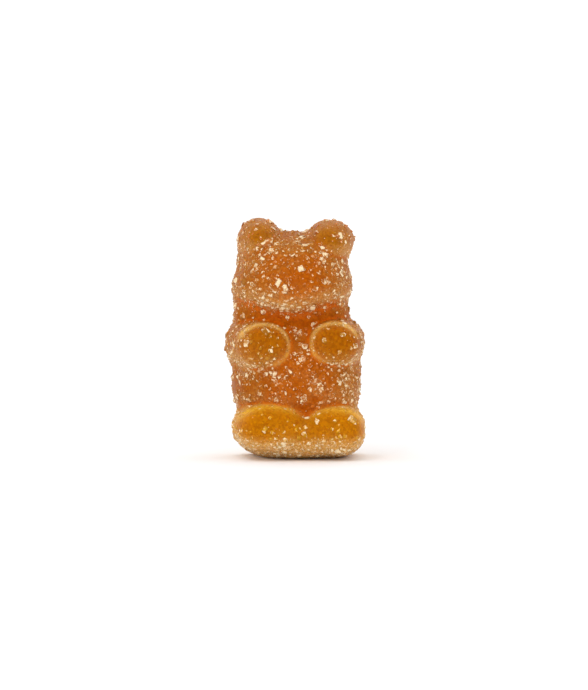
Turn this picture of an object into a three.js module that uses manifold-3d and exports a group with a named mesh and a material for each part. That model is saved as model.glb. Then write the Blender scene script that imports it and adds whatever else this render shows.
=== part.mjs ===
// A sour gummy bear standing on its own feet: one piece of starch-moulded jelly with its largest
// grains of sugar standing out of it. Millimetres, +Z up. The bear faces -Y, its ears are on top,
// and its back is the gently domed side at +Y that was open to the air while the jelly set.

import * as THREE from "three";
import { mergeVertices } from "three/addons/utils/BufferGeometryUtils.js";
import Module from "manifold-3d";

// ---------------------------------------------------------------- driving dimensions
const WIDTH = 14.1; // from arm to arm
const HEIGHT = 24; // from the soles to the top of the ears
const DEPTH = 11; // from the back to the tips of the feet

// ---------------------------------------------------------------- form of the jelly
const BACK_Y = DEPTH / 2;
const BACK_DOME = 0.5; // how far the back falls away at the bear's edges
const BACK_EDGE_SOFTNESS = 0.7; // rounds the edge between the back and the sides
const CREASE_SOFTNESS = 0.3; // rounds the creases where two swellings meet
const SMALLEST_LEVEL = 1e-6; // keeps a swelling's own centre from dividing by nothing

// The bear is a soft union of swellings that stand out from its back. Places and half sizes are
// shares of WIDTH and HEIGHT, and depths are shares of DEPTH. A higher outline power gives a
// squarer outline, and a higher crown power a flatter front with a crisper rim. At its front, a
// swelling is smaller by its taper and has moved sideways and up by its lean.
const SWELLINGS = [
  { name: "forehead", x: -0.005, z: 0.795, halfWidth: 0.404, halfHeight: 0.157, depth: 0.85,
    outline: 2.6, crown: 2.8, taper: 0.04, leanX: 0, leanZ: -0.02 },
  { name: "cheeks", x: -0.01, z: 0.71, halfWidth: 0.44, halfHeight: 0.12, depth: 0.87,
    outline: 2.3, crown: 3, taper: 0.06, leanX: 0, leanZ: 0.022 },
  { name: "muzzle", x: -0.03, z: 0.715, halfWidth: 0.385, halfHeight: 0.155, depth: 0.93,
    outline: 2.1, crown: 2.6, taper: 0.05, leanX: 0, leanZ: 0.002 },
  { name: "left ear", x: -0.255, z: 0.912, halfWidth: 0.163, halfHeight: 0.094, depth: 0.71,
    outline: 2.1, crown: 2.9, taper: 0.1, leanX: 0.02, leanZ: -0.008 },
  { name: "right ear", x: 0.26, z: 0.907, halfWidth: 0.18, halfHeight: 0.093, depth: 0.74,
    outline: 2.1, crown: 2.9, taper: 0.1, leanX: -0.01, leanZ: -0.008 },
  { name: "chest", x: -0.02, z: 0.555, halfWidth: 0.424, halfHeight: 0.21, depth: 0.71,
    outline: 3, crown: 3, taper: 0, leanX: 0, leanZ: 0 },
  { name: "belly", x: 0.021, z: 0.325, halfWidth: 0.474, halfHeight: 0.265, depth: 0.87,
    outline: 2.6, crown: 2.6, taper: 0.03, leanX: 0, leanZ: 0.012 },
  { name: "left arm", x: -0.274, z: 0.462, halfWidth: 0.236, halfHeight: 0.116, depth: 0.95,
    outline: 2.2, crown: 5, taper: 0.16, leanX: 0.05, leanZ: 0.012 },
  { name: "right arm", x: 0.306, z: 0.473, halfWidth: 0.22, halfHeight: 0.112, depth: 0.95,
    outline: 2.2, crown: 5, taper: 0.16, leanX: -0.045, leanZ: 0.008 },
  { name: "left foot", x: -0.175, z: 0.122, halfWidth: 0.268, halfHeight: 0.112, depth: 1,
    outline: 2.3, crown: 4.5, taper: 0.07, leanX: -0.007, leanZ: 0.012 },
  { name: "right foot", x: 0.28, z: 0.105, halfWidth: 0.232, halfHeight: 0.115, depth: 1,
    outline: 2.35, crown: 4.5, taper: 0.07, leanX: -0.012, leanZ: 0.017 },
  { name: "soles", x: 0.036, z: 0.09, halfWidth: 0.4, halfHeight: 0.112, depth: 0.94,
    outline: 3.2, crown: 3, taper: 0.04, leanX: 0, leanZ: 0.01 },
];

// Slow waves that leave the jelly slightly uneven: radians per millimetre along each axis.
const WAVES = [
  { x: 0.9, y: 0.5, z: 1.3, phase: 0, height: 0.045 },
  { x: -1.1, y: 0.8, z: 0.6, phase: 2, height: 0.045 },
  { x: 1.9, y: -1.7, z: 0.7, phase: 1, height: 0.03 },
  { x: 0.5, y: 1.4, z: -2, phase: 4, height: 0.03 },
];

// ---------------------------------------------------------------- mesh of the jelly
// A capsule around the spine is drawn onto the bear along its own radii.
const SPINE_Y = 0.05 * DEPTH;
const SPINE_LOW = 0.2 * HEIGHT;
const SPINE_HIGH = 0.8 * HEIGHT;
const CAPSULE_SIDES = 56;
const CAPSULE_ROWS = { cap: 12, middle: 20 };
const RELAXING_ROUNDS = 40; // rounds that even out its triangles
const SLOPE_STEP = 0.02; // distance over which a slope is measured
const WALK_STEP = 0.2; // steps of the walk from outside towards the spine
const HALVINGS = 16; // halvings that then close in on the surface
const FRONT_STEP = 0.01; // steps of the walk back to the bear's front
const JELLY = { color: "#c4701f", roughness: 0.45, metalness: 0 };

// ---------------------------------------------------------------- sugar
const GRAIN_COUNT = 200;
const LARGEST_GRAIN = 0.8;
const SMALLEST_GRAIN = 0.5;
const GRAIN_SPACING = 1.6; // least distance between the middles of neighbours
const GRAIN_SHAPE = { leastWidth: 0.7, leastThickness: 0.6, thickness: 0.85 }; // of its length
const GRAIN_SINK = 0.2; // how deep a grain's centre lies under the surface, in grain sizes
const MOST_TILT = 0.5; // radians by which a grain's flat side may lean
const CLEAR_OF_SOLES = 0.9; // no grain's centre lies lower, so the soles stay flat
const SEED = 20;
const MOST_TRIES = 6000;

// Large grains that lie in plain sight on the front: x and z of each in millimetres.
const FRONT_GRAINS = [
  [-2.8, 21.4], [-1.9, 21.3], [-2.5, 20.6], [-4, 19.2], [-3.4, 19.7], // at the left ear
  [2.6, 20.9], [2.9, 20.2], [2.7, 19.6], [3.6, 19.3], [4.4, 22.1], [4.5, 18.4], // at the right ear
  [-0.4, 20.2], [0.4, 18.9], [-1.9, 17.5], [-1.1, 16.9], [1.8, 16.9], [3, 17.7], // on the face
  [-4.1, 15.9], [-3.3, 16.4], [-2.3, 15.4], [-1.5, 14.9], [0.7, 15.5], [1.6, 15], // on the chin
  [0.1, 12.6], [0.8, 11.3], [-0.1, 10.5], [0.6, 10], // between the paws
  [-3.1, 12.8], [-5, 11.6], [-2.6, 10.8], [-5.7, 9.3], [-4.7, 9.2], [-3.5, 9.1], // left paw
  [4.8, 8.4], [5.5, 9.4], [5.7, 11.3], // right paw
  [-0.8, 8.6], [-2.2, 8], [1.8, 7.8], [2.4, 7.2], [0.7, 6.1], [4.2, 7.6], [-3.6, 6.6], // on the belly
  [1.9, 4], [5.4, 4.1], [0.7, 2.6], [-1.9, 1.1], [-0.8, 1.3], [4, 1], // on the feet
];

// Faces of the paws and feet and the hollow of the neck, which rubbed most of their sugar off.
const BARE_PATCHES = [
  { x: -0.19 * WIDTH, z: 0.475 * HEIGHT, radius: 0.15 * WIDTH },
  { x: 0.29 * WIDTH, z: 0.48 * HEIGHT, radius: 0.14 * WIDTH },
  { x: -0.23 * WIDTH, z: 0.13 * HEIGHT, radius: 0.17 * WIDTH },
  { x: 0.29 * WIDTH, z: 0.13 * HEIGHT, radius: 0.17 * WIDTH },
  { x: 0, z: 0.6 * HEIGHT, radius: 0.12 * WIDTH },
];
const SHARE_KEPT_ON_BARE_PATCHES = 0.15;

// Park and Miller's generator, so that the same sugar falls each time.
function seededRandom(seed) {
  const MULTIPLIER = 16807;
  const MODULUS = 2147483647;
  let state = seed;
  return () => {
    state = (state * MULTIPLIER) % MODULUS;
    return state / MODULUS;
  };
}

function powerMean(a, b, power) {
  return (a ** power + b ** power) ** (1 / power);
}

// Roughly the distance from a point to one swelling, negative inside it.
function distanceToSwelling(swelling, point) {
  const depth = swelling.depth * DEPTH;
  const outward = BACK_Y - point.y;
  const lean = THREE.MathUtils.clamp(outward / depth, 0, 1);
  const width = swelling.halfWidth * WIDTH * (1 - swelling.taper * lean);
  const height = swelling.halfHeight * HEIGHT * (1 - swelling.taper * lean);
  const across = Math.abs(point.x - (swelling.x + swelling.leanX * lean) * WIDTH);
  const along = Math.abs(point.z - (swelling.z + swelling.leanZ * lean) * HEIGHT);
  const outline = powerMean(across / width, along / height, swelling.outline);
  const level = Math.max(
    powerMean(outline, Math.abs(outward) / depth, swelling.crown), SMALLEST_LEVEL);
  return Math.hypot(across, outward, along) * (1 - 1 / level);
}

// A maximum whose corner is rounded.
function softMaximum(a, b, softness) {
  const greater = Math.max(a, b);
  return greater + softness * Math.log(
    Math.exp((a - greater) / softness) + Math.exp((b - greater) / softness));
}

// Roughly the distance from a point to the whole bear, negative inside it.
function distanceToBear(point) {
  let sum = 0;
  for (const swelling of SWELLINGS) {
    sum += Math.exp(-distanceToSwelling(swelling, point) / CREASE_SOFTNESS);
  }
  const union = -CREASE_SOFTNESS * Math.log(sum);
  const fromMiddle = (2 * point.x / WIDTH) ** 2 + (2 * point.z / HEIGHT - 1) ** 2;
  const back = point.y - BACK_Y + BACK_DOME * fromMiddle;
  let distance = softMaximum(union, back, BACK_EDGE_SOFTNESS);
  for (const wave of WAVES) {
    const angle = wave.x * point.x + wave.y * point.y + wave.z * point.z + wave.phase;
    distance += wave.height * Math.sin(angle);
  }
  return distance;
}

// Slope of the distance: its direction is the surface's outward normal.
function slopeAt(point) {
  const slope = new THREE.Vector3();
  for (const axis of ["x", "y", "z"]) {
    const ahead = point.clone();
    const behind = point.clone();
    ahead[axis] += SLOPE_STEP;
    behind[axis] -= SLOPE_STEP;
    slope[axis] = (distanceToBear(ahead) - distanceToBear(behind)) / (2 * SLOPE_STEP);
  }
  return slope;
}

// The outermost point of the bear along a direction from a place on its spine.
function pointOnBear(spineHeight, direction) {
  const spine = new THREE.Vector3(0, SPINE_Y, spineHeight);
  const at = (distance) => spine.clone().addScaledVector(direction, distance);
  let outside = HEIGHT / 2;
  let inside = outside - WALK_STEP;
  while (distanceToBear(at(inside)) > 0) {
    outside = inside;
    inside -= WALK_STEP;
  }
  for (let halving = 0; halving < HALVINGS; halving += 1) {
    const middle = (outside + inside) / 2;
    if (distanceToBear(at(middle)) > 0) {
      outside = middle;
    } else {
      inside = middle;
    }
  }
  return at(inside);
}

function neighboursOf(geometry) {
  const neighbours = Array.from({ length: geometry.attributes.position.count }, () => new Set());
  const corners = geometry.index.array;
  for (let corner = 0; corner < corners.length; corner += 3) {
    for (let side = 0; side < 3; side += 1) {
      const from = corners[corner + side];
      const to = corners[corner + (side + 1) % 3];
      neighbours[from].add(to);
      neighbours[to].add(from);
    }
  }
  return neighbours.map((set) => [...set]);
}

// A capsule drawn onto the bear, then evened out: each round moves every vertex to the middle of
// its neighbours and back onto the surface.
function jellyGeometry() {
  const capsule = new THREE.CapsuleGeometry(
    1, SPINE_HIGH - SPINE_LOW, CAPSULE_ROWS.cap, CAPSULE_SIDES, CAPSULE_ROWS.middle);
  capsule.rotateX(Math.PI / 2);
  capsule.translate(0, 0, (SPINE_LOW + SPINE_HIGH) / 2);
  capsule.deleteAttribute("normal");
  capsule.deleteAttribute("uv");
  const geometry = mergeVertices(capsule);
  const position = geometry.attributes.position;
  let points = [];
  for (let vertex = 0; vertex < position.count; vertex += 1) {
    const direction = new THREE.Vector3().fromBufferAttribute(position, vertex);
    const spineHeight = THREE.MathUtils.clamp(direction.z, SPINE_LOW, SPINE_HIGH);
    direction.z -= spineHeight;
    points.push(pointOnBear(spineHeight, direction.normalize()));
  }
  const neighbours = neighboursOf(geometry);
  for (let round = 0; round < RELAXING_ROUNDS; round += 1) {
    points = points.map((point, vertex) => {
      const middle = new THREE.Vector3();
      for (const neighbour of neighbours[vertex]) middle.add(points[neighbour]);
      middle.divideScalar(neighbours[vertex].length);
      const slope = slopeAt(middle);
      return middle.addScaledVector(slope, -distanceToBear(middle) / slope.lengthSq());
    });
  }
  points.forEach((point, vertex) => position.setXYZ(vertex, point.x, point.y, point.z));
  return geometry;
}

// Whether sugar that falls on a point stays there.
function keepsSugar(point, random) {
  const onBarePatch = point.y < 0 && BARE_PATCHES.some(
    (patch) => Math.hypot(point.x - patch.x, point.z - patch.z) < patch.radius);
  return !onBarePatch || random() < SHARE_KEPT_ON_BARE_PATCHES;
}

// A direction from the spine, spread evenly over a capsule by two numbers between 0 and 1.
function placeOnCapsule(around, along) {
  const capRadius = HEIGHT / 2 - (SPINE_HIGH - SPINE_LOW) / 2;
  const height = THREE.MathUtils.lerp(SPINE_LOW - capRadius, SPINE_HIGH + capRadius, along);
  const spineHeight = THREE.MathUtils.clamp(height, SPINE_LOW, SPINE_HIGH);
  const climb = (height - spineHeight) / capRadius;
  const reach = Math.sqrt(1 - climb * climb);
  const heading = 2 * Math.PI * around;
  return {
    spineHeight,
    direction: new THREE.Vector3(reach * Math.cos(heading), reach * Math.sin(heading), climb),
  };
}

// The surface point of the bear's front at a place seen from ahead.
function pointOnFront(x, z) {
  const point = new THREE.Vector3(x, -DEPTH, z);
  while (distanceToBear(point) > 0) point.y += FRONT_STEP;
  return point;
}

// The grains in plain sight, of mixed sizes, then others scattered over the bear, the largest
// first and each clear of those before it.
function scatterGrains() {
  const random = seededRandom(SEED);
  const grains = [];
  for (let tries = 0; tries < MOST_TRIES && grains.length < GRAIN_COUNT; tries += 1) {
    const placed = FRONT_GRAINS[grains.length];
    const smallness = placed ? random() : grains.length / GRAIN_COUNT;
    const size = THREE.MathUtils.lerp(LARGEST_GRAIN, SMALLEST_GRAIN, smallness);
    const place = placeOnCapsule(random(), random());
    const turns = [random(), random(), random()];
    const width = THREE.MathUtils.lerp(GRAIN_SHAPE.leastWidth, 1, random());
    const thickness = THREE.MathUtils.lerp(
      GRAIN_SHAPE.leastThickness, GRAIN_SHAPE.thickness, random());
    const point = placed ? pointOnFront(...placed) : pointOnBear(place.spineHeight, place.direction);
    const crowded = grains.some((grain) => grain.point.distanceTo(point) < GRAIN_SPACING);
    const falls = crowded || point.z < CLEAR_OF_SOLES || !keepsSugar(point, random);
    if (placed || !falls) grains.push({ point, size, turns, width, thickness });
  }
  return grains;
}

// One blocky crystal of sugar, lying on its flat side, spun and tilted its own way and sunk about
// half into the jelly.
function grainGeometry(grain) {
  const geometry = new THREE.BoxGeometry(
    grain.size, grain.size * grain.width, grain.size * grain.thickness);
  geometry.rotateZ(2 * Math.PI * grain.turns[0]);
  geometry.rotateX(MOST_TILT * (2 * grain.turns[1] - 1));
  geometry.rotateY(MOST_TILT * (2 * grain.turns[2] - 1));
  const outward = slopeAt(grain.point).normalize();
  const upright = new THREE.Vector3(0, 0, 1);
  geometry.applyQuaternion(new THREE.Quaternion().setFromUnitVectors(upright, outward));
  const centre = grain.point.clone().addScaledVector(outward, -GRAIN_SINK * grain.size);
  geometry.translate(centre.x, centre.y, centre.z);
  return geometry;
}

// ---------------------------------------------------------------- joins and cuts
const wasm = await Module();
wasm.setup();

function solidOf(geometry) {
  const bare = geometry.clone();
  bare.deleteAttribute("normal");
  bare.deleteAttribute("uv");
  const merged = mergeVertices(bare);
  return new wasm.Manifold(new wasm.Mesh({
    numProp: 3,
    vertProperties: Float32Array.from(merged.attributes.position.array),
    triVerts: Uint32Array.from(merged.index.array),
  }));
}

function geometryOf(solid) {
  const mesh = solid.getMesh();
  const geometry = new THREE.BufferGeometry();
  geometry.setAttribute("position", new THREE.BufferAttribute(mesh.vertProperties, 3));
  geometry.setIndex(new THREE.BufferAttribute(mesh.triVerts, 1));
  return geometry;
}

// Everything below the soles, which the bear's flat foot is cut by.
function groundGeometry() {
  const geometry = new THREE.BoxGeometry(2 * WIDTH, 2 * DEPTH, HEIGHT);
  geometry.translate(0, 0, -HEIGHT / 2);
  return geometry;
}

function gummyBear() {
  let solid = solidOf(jellyGeometry()).subtract(solidOf(groundGeometry()));
  for (const grain of scatterGrains()) solid = solid.add(solidOf(grainGeometry(grain)));
  const geometry = geometryOf(solid);
  geometry.computeBoundingBox();
  const middle = geometry.boundingBox.getCenter(new THREE.Vector3());
  geometry.translate(-middle.x, -middle.y, 0);
  const mesh = new THREE.Mesh(geometry, new THREE.MeshStandardMaterial(JELLY));
  mesh.name = "gummy_bear";
  return mesh;
}

const gummyBearModel = new THREE.Group();
gummyBearModel.add(gummyBear());

export default gummyBearModel;
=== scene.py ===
"""A sour gummy bear: translucent orange jelly under a coat of sugar crystals."""
import math
from collections import namedtuple

import bmesh
import bpy
import numpy as np
from bpy.props import FloatProperty, FloatVectorProperty, IntProperty, PointerProperty
from mathutils import Matrix, Vector, noise
from mathutils.kdtree import KDTree


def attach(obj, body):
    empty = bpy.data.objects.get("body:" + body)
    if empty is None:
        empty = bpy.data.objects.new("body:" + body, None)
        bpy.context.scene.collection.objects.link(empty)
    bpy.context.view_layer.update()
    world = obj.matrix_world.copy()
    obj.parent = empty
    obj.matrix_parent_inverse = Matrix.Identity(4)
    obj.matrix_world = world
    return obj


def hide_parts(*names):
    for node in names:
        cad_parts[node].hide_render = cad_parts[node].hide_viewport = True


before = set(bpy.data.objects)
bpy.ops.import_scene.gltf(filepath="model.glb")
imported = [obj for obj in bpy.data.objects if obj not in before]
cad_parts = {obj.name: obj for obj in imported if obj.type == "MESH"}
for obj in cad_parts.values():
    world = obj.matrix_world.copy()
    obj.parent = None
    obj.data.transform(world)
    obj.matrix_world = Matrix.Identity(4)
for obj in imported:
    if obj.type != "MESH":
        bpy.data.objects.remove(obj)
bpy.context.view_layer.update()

bl_info = {
    "name": "Sour gummy bear",
    "version": (1, 0, 0),
    "blender": (4, 5, 0),
    "location": "3D View > Sidebar > Gummy bear",
    "description": "Makes a sugar-coated jelly bear and the table that it stands on",
    "category": "Add Mesh",
}

# The bear stands on the ground and faces -Y. Its shapes are worked out in millimetres and turned
# to metres as they become meshes. Left and right are as seen from in front of it.
NODE = "gummy_bear"
BODY = "root"
MM = 0.001

# ---------------- form, as in the solid
WIDTH, DEPTH, HEIGHT = 14.1, 11.0, 24.0  # without the sugar
BACK_Y = DEPTH / 2
BACK_DOME = 0.5  # how far the middle of the back stands out past its edges
BACK_EDGE_SOFTNESS = 0.7
CREASE_SOFTNESS = 0.3
LARGEST_POWER = 80  # keeps powers of e within reach far from a swelling

# Name: x, z, half width, half height, depth, outline power, crown power, taper, lean in x and z.
# Widths and x are shares of WIDTH, heights and z of HEIGHT, and depths of DEPTH.
SWELLINGS = {
    "forehead": (-0.005, 0.795, 0.404, 0.157, 0.85, 2.6, 2.8, 0.04, 0, -0.02),
    "cheeks": (-0.01, 0.71, 0.44, 0.12, 0.87, 2.3, 3, 0.06, 0, 0.022),
    "muzzle": (-0.03, 0.715, 0.385, 0.155, 0.93, 2.1, 2.6, 0.05, 0, 0.002),
    "left ear": (-0.255, 0.912, 0.163, 0.094, 0.71, 2.1, 2.9, 0.1, 0.02, -0.008),
    "right ear": (0.26, 0.907, 0.18, 0.093, 0.74, 2.1, 2.9, 0.1, -0.01, -0.008),
    "chest": (-0.02, 0.555, 0.424, 0.21, 0.71, 3, 3, 0, 0, 0),
    "belly": (0.021, 0.325, 0.474, 0.265, 0.87, 2.6, 2.6, 0.03, 0, 0.012),
    "left arm": (-0.274, 0.462, 0.236, 0.116, 0.95, 2.2, 5, 0.16, 0.05, 0.012),
    "right arm": (0.306, 0.473, 0.22, 0.112, 0.95, 2.2, 5, 0.16, -0.045, 0.008),
    "left foot": (-0.175, 0.122, 0.268, 0.112, 1, 2.3, 4.5, 0.07, -0.007, 0.012),
    "right foot": (0.28, 0.105, 0.232, 0.115, 1, 2.35, 4.5, 0.07, -0.012, 0.017),
    "soles": (0.036, 0.09, 0.4, 0.112, 0.94, 3.2, 3, 0.04, 0, 0.01),
}

# Slow waves in the skin: radians per millimetre along x, y and z, then the phase and the height.
WAVES = (
    (0.9, 0.5, 1.3, 0, 0.045),
    (-1.1, 0.8, 0.6, 2, 0.045),
    (1.9, -1.7, 0.7, 1, 0.03),
    (0.5, 1.4, -2, 4, 0.03),
)

# Steps in which the skin is searched for and its slope is taken.
RAY_SAMPLES = 60, 21, 21  # each search is finer, within one step of the search before it
FRONT_STEP = 0.01
SLOPE_STEP = 0.02
GRID_MARGIN = 1.0  # of the grid of distances around the bear

# ---------------- largest sugar, as in the solid
# The spine is an upright line inside the bear. Grains lie where rays from it come out.
SPINE_Y = 0.05 * DEPTH
SPINE_LOW, SPINE_HIGH = 0.2 * HEIGHT, 0.8 * HEIGHT
GRAIN_COUNT = 200
LARGEST_GRAIN, SMALLEST_GRAIN = 0.8, 0.5
GRAIN_SPACING = 1.6
MOST_TILT = 0.5  # radians
LEAST_GRAIN_WIDTH = 0.7  # widths, thicknesses and sinking are shares of a grain's length
GRAIN_THICKNESSES = 0.6, 0.85
GRAIN_SINK = 0.2
CLEAR_OF_SOLES = 0.9
GRAIN_SEED = 20
MOST_TRIES = 6000

# Large grains in plain sight on the front: x and z of each.
FRONT_GRAINS = (
    (-2.8, 21.4), (-1.9, 21.3), (-2.5, 20.6), (-4, 19.2), (-3.4, 19.7),  # at the left ear
    (2.6, 20.9), (2.9, 20.2), (2.7, 19.6), (3.6, 19.3), (4.4, 22.1), (4.5, 18.4),  # right ear
    (-0.4, 20.2), (0.4, 18.9), (-1.9, 17.5), (-1.1, 16.9), (1.8, 16.9), (3, 17.7),  # face
    (-4.1, 15.9), (-3.3, 16.4), (-2.3, 15.4), (-1.5, 14.9), (0.7, 15.5), (1.6, 15),  # chin
    (0.1, 12.6), (0.8, 11.3), (-0.1, 10.5), (0.6, 10),  # between the paws
    (-3.1, 12.8), (-5, 11.6), (-2.6, 10.8), (-5.7, 9.3), (-4.7, 9.2), (-3.5, 9.1),  # left paw
    (4.8, 8.4), (5.5, 9.4), (5.7, 11.3),  # right paw
    (-0.8, 8.6), (-2.2, 8), (1.8, 7.8), (2.4, 7.2), (0.7, 6.1), (4.2, 7.6), (-3.6, 6.6),  # belly
    (1.9, 4), (5.4, 4.1), (0.7, 2.6), (-1.9, 1.1), (-0.8, 1.3), (4, 1),  # feet
)

# Where few other large grains lie on the front, as x, z and radius: paws, feet and throat.
BARE_PATCHES = (
    (-0.19 * WIDTH, 0.475 * HEIGHT, 0.15 * WIDTH),
    (0.29 * WIDTH, 0.48 * HEIGHT, 0.14 * WIDTH),
    (-0.23 * WIDTH, 0.13 * HEIGHT, 0.17 * WIDTH),
    (0.29 * WIDTH, 0.13 * HEIGHT, 0.17 * WIDTH),
    (0, 0.6 * HEIGHT, 0.12 * WIDTH),
)
SHARE_KEPT_ON_BARE_PATCHES = 0.15

# ---------------- shapes of all the grains
BLOCK_CORNERS = [(x, y, z) for x in (-0.5, 0.5) for y in (-0.5, 0.5) for z in (-0.5, 0.5)]
BLOCK_CHAMFER = 0.2  # lengths of these shapes are shares of a grain's length
CRYSTAL_RADIUS = 0.6  # of the small grains' shapes
CHIPPING = 0.13  # how far a corner may lie off its place along each axis
SMALL_WIDTHS = 0.6, 1
SMALL_THICKNESSES = 0.45, 0.9
SMALL_SINK = 0.32  # as a share of a small grain's thickness
SMALL_UNREST = 0.22  # how unevenly the small grains lie, as a slope
CLEAR_OF_TABLE = 0.5  # least height of a small grain, in lengths of the largest of its kind
MEDIUM_SPACING = 0.9  # least distance of medium grains, in lengths of a middling one

# ---------------- parts that look different
# Creases show only between these groups.
GROUPS = (
    ("forehead", "cheeks", "muzzle"), ("chest", "belly"), ("left ear",), ("right ear",),
    ("left arm",), ("right arm",), ("left foot", "right foot", "soles"),
)
EARS = ("left ear", "right ear")
ARMS = ("left arm", "right arm")
FEET = ("left foot", "right foot", "soles")

# How far the rim with its painted glow runs down the inner side of each paw and foot, how much
# narrower than the form its flat face is taken, and how wide the rim is as a share of its size.
LIMBS = {
    "left arm": (1.1, 1, 0.12), "right arm": (1.1, 1, 0.12),
    "left foot": (0.1, 0.7, 0.2), "right foot": (0.1, 0.7, 0.2),
}

# Each pair is where a part begins and where it is whole. The first pairs are in millimetres.
CREASE_WIDTH = 1.3, 0  # how much farther off the second nearest group is than the nearest
LOW_EDGE = 2.9, 1.5  # heights at the lower edge of the feet
NECK_LOW = 0.53 * HEIGHT
NECK_FROM_BELOW = NECK_LOW, NECK_LOW + 0.5
NECK_FROM_ABOVE = NECK_LOW + 3.5, NECK_LOW + 2.5
NECK_FROM_FRONT = 3.8, 3
EARS_LOW = 0.83 * HEIGHT
EAR_HEIGHT = EARS_LOW - 0.5, EARS_LOW + 0.5
# These are shares of the size of a paw or foot.
FACE = -0.15, 0.1  # past its shoulder
LIT_RIM = 0.1, 0.6  # upwards or inwards, where the rim's glow is painted
# These are how far the skin faces one way: 1 is straight, 0 is across and -1 is away.
FRONT_TURN = -0.3, 0.1  # forwards
NECK_TURN = 0.2, 0.7  # forwards
CREASE_TURN = 0.1, 0.7  # forwards
SIDE_TURN = 0.25, 0.9  # to either side or up

# Where the sugar lies thick and pale on the front: x, z and radius, and how thick.
THICK_SUGAR = (
    (-2.5, 21.1, 1.0, 0.9), (-3.8, 19.4, 0.9, 0.5), (-5.2, 20.6, 1.2, 0.35),  # left ear
    (2.7, 20.4, 0.9, 0.8), (4.4, 22.1, 0.5, 0.8), (3.8, 19.2, 0.8, 0.5),  # right ear
    (-0.5, 20.6, 1.2, 0.45), (4.4, 17.6, 1.1, 0.5), (-1.5, 17.1, 1.1, 0.35),  # face
    (-4.4, 15.6, 1.0, 0.6), (-3.3, 15.5, 0.8, 0.8), (-2.2, 15.2, 0.8, 1.0),  # left of the chin
    (-1, 14.9, 0.7, 1.0), (0.2, 14.8, 0.7, 0.9), (1.5, 15.0, 0.7, 0.8),  # on the chin
    (2.9, 15.4, 0.8, 0.6), (4.4, 15.8, 0.9, 0.4),  # right of the chin
    (0.2, 12.5, 0.5, 0.5), (0.5, 10.4, 0.7, 0.4), (-0.4, 9.2, 0.6, 0.25),  # between the paws
    (-5.2, 11.3, 0.9, 0.35), (-4.8, 9.1, 1.1, 0.7), (-2.9, 9.1, 0.9, 0.7),  # left paw
    (3.9, 9.3, 0.8, 0.7), (5.4, 9.4, 0.8, 0.6),  # right paw
    (-1.6, 7.8, 0.8, 0.4), (2.1, 7.4, 0.9, 0.7), (5, 7.9, 0.8, 0.6),  # under the paws
    (5.3, 6.8, 1.3, 0.5), (0.7, 6.0, 0.5, 0.6),  # belly
    (0.7, 3.2, 0.5, 0.5), (-5.6, 1.6, 1.2, 0.5),  # feet
    (-1.4, 0.9, 1.6, 1.0), (3.4, 0.8, 1.6, 0.9),  # at the edge of the soles
)

# Where the jelly shows clean on the front: x, z and radius.
CLEAN_JELLY = (
    (-2.8, 13.7, 0.9), (2.4, 13.9, 0.9), (-5.3, 14.0, 0.8), (4.9, 14.1, 0.8),  # neck
    (3.9, 11.6, 1.8),  # right paw
    (-5.4, 7.2, 1.1), (0.6, 5.1, 1.5), (1.8, 5.9, 0.6),  # belly
)

# ---------------- how much sugar lies where
# Dust is fine sugar melted onto the skin, from 0, none, to 1, pale all over. Underneath and low on
# the feet it also stands for painted bounce light from below. What a place gets for each part
# that it belongs to adds up.
DUST_EVERYWHERE = 0.02
DUST_ON_SIDES = 0.08
DUST_ON_FEET_SIDES = 0.4
# Paler where the skin faces down: partly sugar, partly painted bounce light from below.
DUST_AND_PAINTED_BOUNCE_UNDERNEATH = 0.8
DUST_BEHIND = 0.3
# Paler low edge of the feet: partly sugar, partly painted bounce light from below.
DUST_AND_PAINTED_BOUNCE_LOW_ON_FEET = 0.6
DUST_RUBBED_OFF = 0.97  # share of those that goes where the jelly is clean
DUST_IN_THICK_SUGAR = 0.25
DUST_ON_PAW_RIMS = 0.9

# How closely the medium grains lie adds up in the same way.
GRAINS_EVERYWHERE = 0.75
GRAINS_UNDERNEATH = 0.2
GRAINS_ON_LIMBS = -0.2
GRAINS_RUBBED_OFF = 0.985  # share of those that goes where the jelly is clean
GRAINS_OFF_EARS = 0.85  # and at the ears
GRAINS_IN_THICK_SUGAR = 2
GRAINS_ON_PAW_RIMS = 0.7
FINE_WITH_MEDIUM = 0.3  # how much the fine grains follow the medium ones, besides the dust

CLUMP_SIZE = 0.9  # from one clump of sugar to the next
CLUMPING = 1.6  # how much closer the grains lie in a clump
CLUMP_RANGE = 0.1, 2  # the fewest and the most of them that clumps may leave, as shares

PAW_FACES_RUBBED = 0.65  # how clean the flat faces of the paws are, where the feet's are all clean
EAR_CREASES_FILLED = 0.8  # share of the creases under the ears that sugar fills
SIDE_TINT = 0.8  # how much of the sides' own colour shows there

# How frosted a grain is, from 0, clear, to 1, white: its own share, which differs from grain to
# grain, and what the dust, thick sugar or clump that it lies in adds to a small one.
SMALL_FROST, SMALL_FROST_SPREAD = -0.05, 0.25
LARGE_FROST_SPREAD = 0.15
# Where the dust stands for painted bounce light underneath, grains there are painted paler too.
FROST_OF_DUST = 0.25
FROST_OF_THICK_SUGAR = 0.6
FROST_OF_CLUMPS = 0.35
# What a grain has from the skin under it, for its tint while it is clear.
GRAIN_TINTS = ("limbs", "feet", "flank", "dust_and_painted_bounce")

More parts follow.
